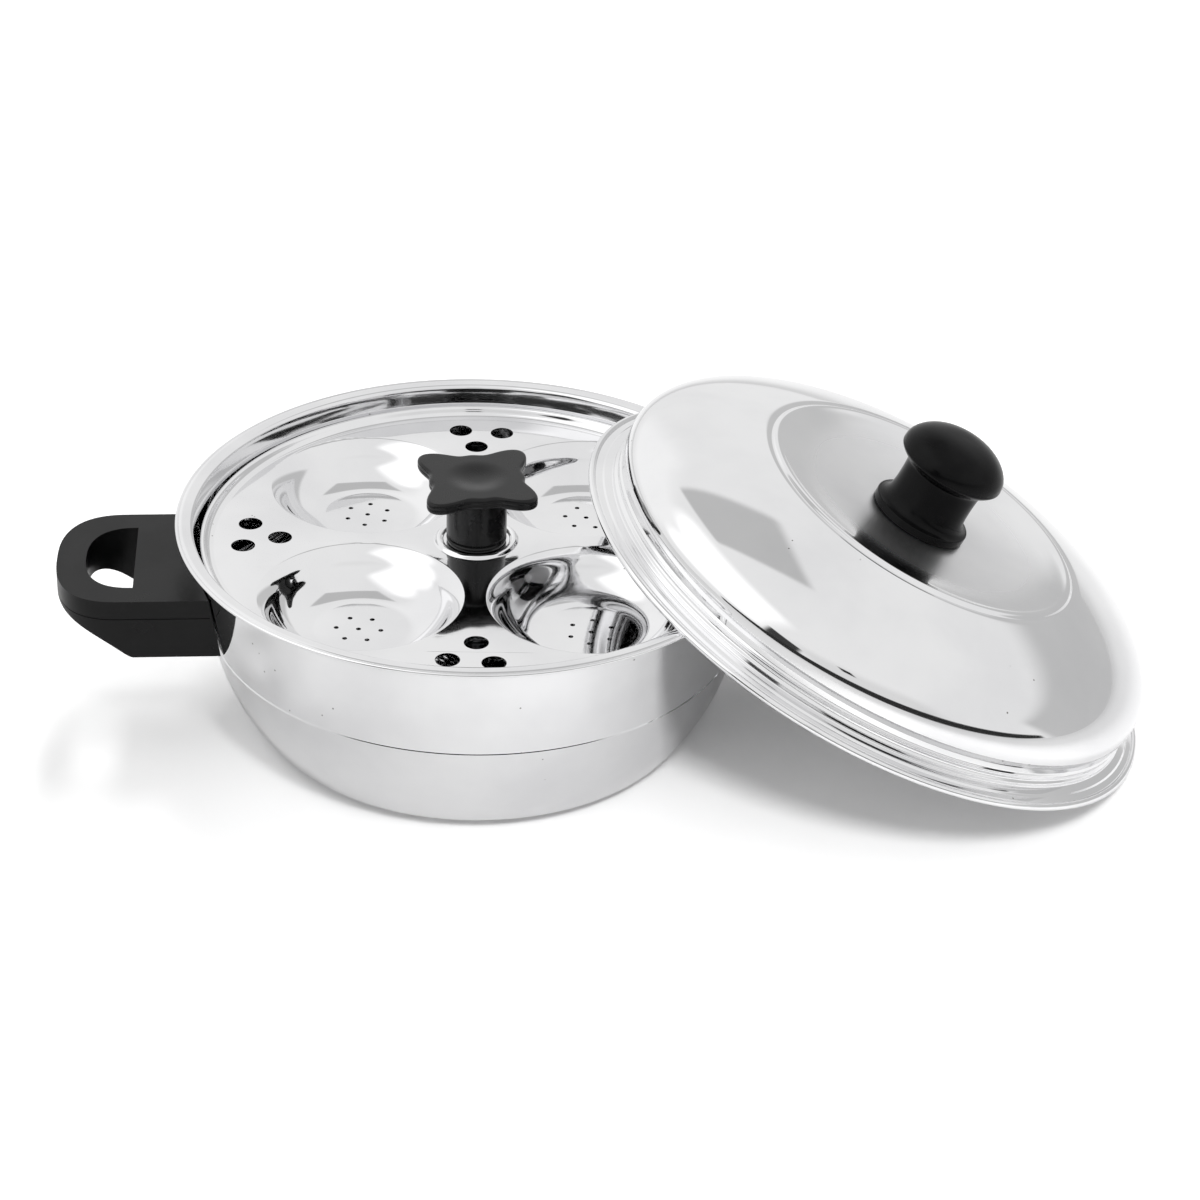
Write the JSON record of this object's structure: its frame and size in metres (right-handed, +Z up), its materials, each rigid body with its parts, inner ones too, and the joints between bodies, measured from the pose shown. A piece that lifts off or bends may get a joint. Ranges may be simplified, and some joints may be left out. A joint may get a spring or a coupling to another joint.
{
  "type": "multi kadai with idli plates",
  "caption": "Round two-handled steel steaming pan with a stack of cupped plates on a centre knob, and a domed lid leaning on its rim.",
  "frame": {"origin": "centre of the base's underside, on the surface that the pan stands on", "axes": "+X through the middle of the right handle, +Z up along the pan's axis"},
  "size_m": [0.4424, 0.2555, 0.1333],
  "materials": {
    "polished_steel": "mirror-polished stainless steel",
    "plated_steel": "plain zinc-plated steel",
    "base_aluminium": "plain pressed disc, hidden",
    "black_bakelite": "black moulded phenolic, semi-gloss",
    "insert_brass": "turned brass, hidden"
  },
  "bodies": {
    "kadai": {"kadai_body": "polished_steel", "base_core": "base_aluminium", "base_cap": "polished_steel", "bracket_right": "plated_steel", "handle_right": "black_bakelite", "handle_screw_right": "plated_steel", "handle_washer_right": "plated_steel", "bracket_left": "plated_steel", "handle_left": "black_bakelite", "handle_screw_left": "plated_steel", "handle_washer_left": "plated_steel"},
    "stack": {"plate_upper": "polished_steel", "plate_lower": "polished_steel", "centre_rod": "plated_steel", "plate_spacer": "plated_steel", "rod_washer": "plated_steel", "rod_nut": "plated_steel"},
    "knob_core": {"star_knob_insert": "insert_brass"},
    "star_knob": {"star_knob": "black_bakelite"},
    "lid": {"lid_shell": "polished_steel", "lid_knob": "black_bakelite", "lid_knob_insert": "insert_brass", "lid_knob_washer": "plated_steel", "lid_knob_screw": "plated_steel"}
  },
  "joints": [
    {"name": "stack_lift", "type": "slide", "parent": "kadai", "child": "stack", "axis": [0, 0, 1], "range_m": [0, 0.13]},
    {"name": "knob_rise", "type": "slide", "parent": "stack", "child": "knob_core", "axis": [0, 0, 1], "range_m": [0, 0.0151]},
    {"name": "knob_turn", "type": "hinge", "parent": "knob_core", "child": "star_knob", "pos_m": [0, 0, 0.1], "axis": [0, 0, 1], "range_deg": [0, 4320]},
    {"name": "lid_lift", "type": "slide", "parent": "stack", "child": "lid", "axis": [0, 0, 1], "range_m": [0, 0.2]}
  ],
  "couplings": [
    {"joint": "knob_rise", "follows": "knob_turn", "m_per_rad": 0.00019894}
  ]
}
